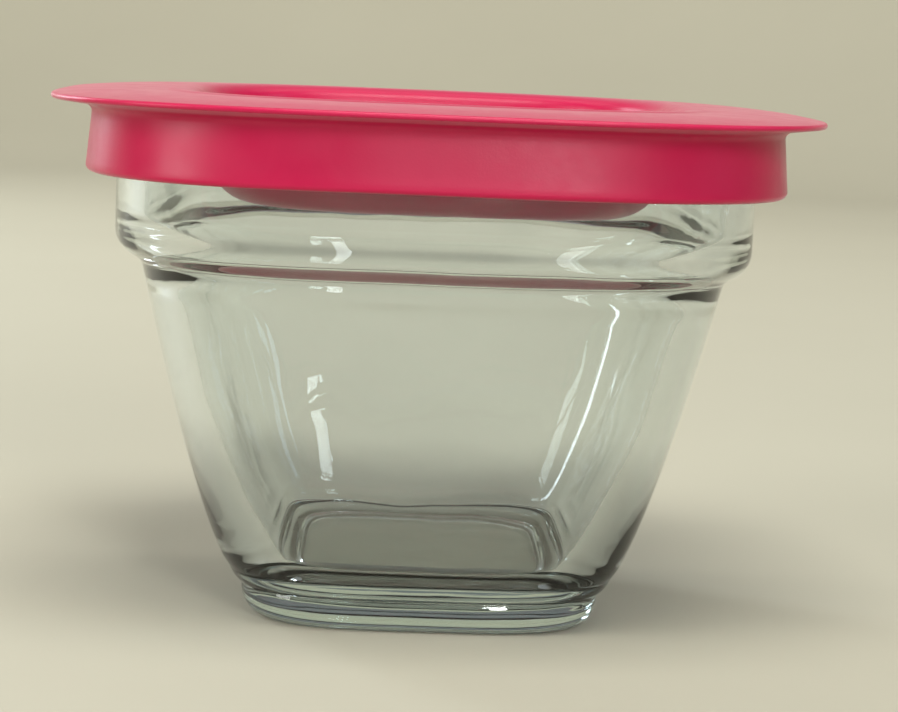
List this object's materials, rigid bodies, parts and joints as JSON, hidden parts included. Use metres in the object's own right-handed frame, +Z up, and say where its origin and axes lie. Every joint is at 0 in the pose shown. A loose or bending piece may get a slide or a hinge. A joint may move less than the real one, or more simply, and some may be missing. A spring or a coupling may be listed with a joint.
{
  "type": "glass food storage container",
  "caption": "Square glass food container with rounded corners, a tapering bowl on a low foot, and a red press-on lid with a wide brim and a sunken middle for stacking.",
  "frame": {"origin": "centre of the base, on the plane that the foot rests on", "axes": "+Z up through the middle of the lid, +X to the right and -Y towards the front, square to the flat sides"},
  "size_m": [0.1334, 0.1334, 0.0913],
  "materials": {
    "clear_glass": "clear pressed glass, polished, faint green tint in thick places",
    "red_plastic": "moulded soft plastic, fine satin texture"
  },
  "bodies": {
    "root": {"glass_bowl": "clear_glass", "lid": "red_plastic"}
  },
  "joints": []
}
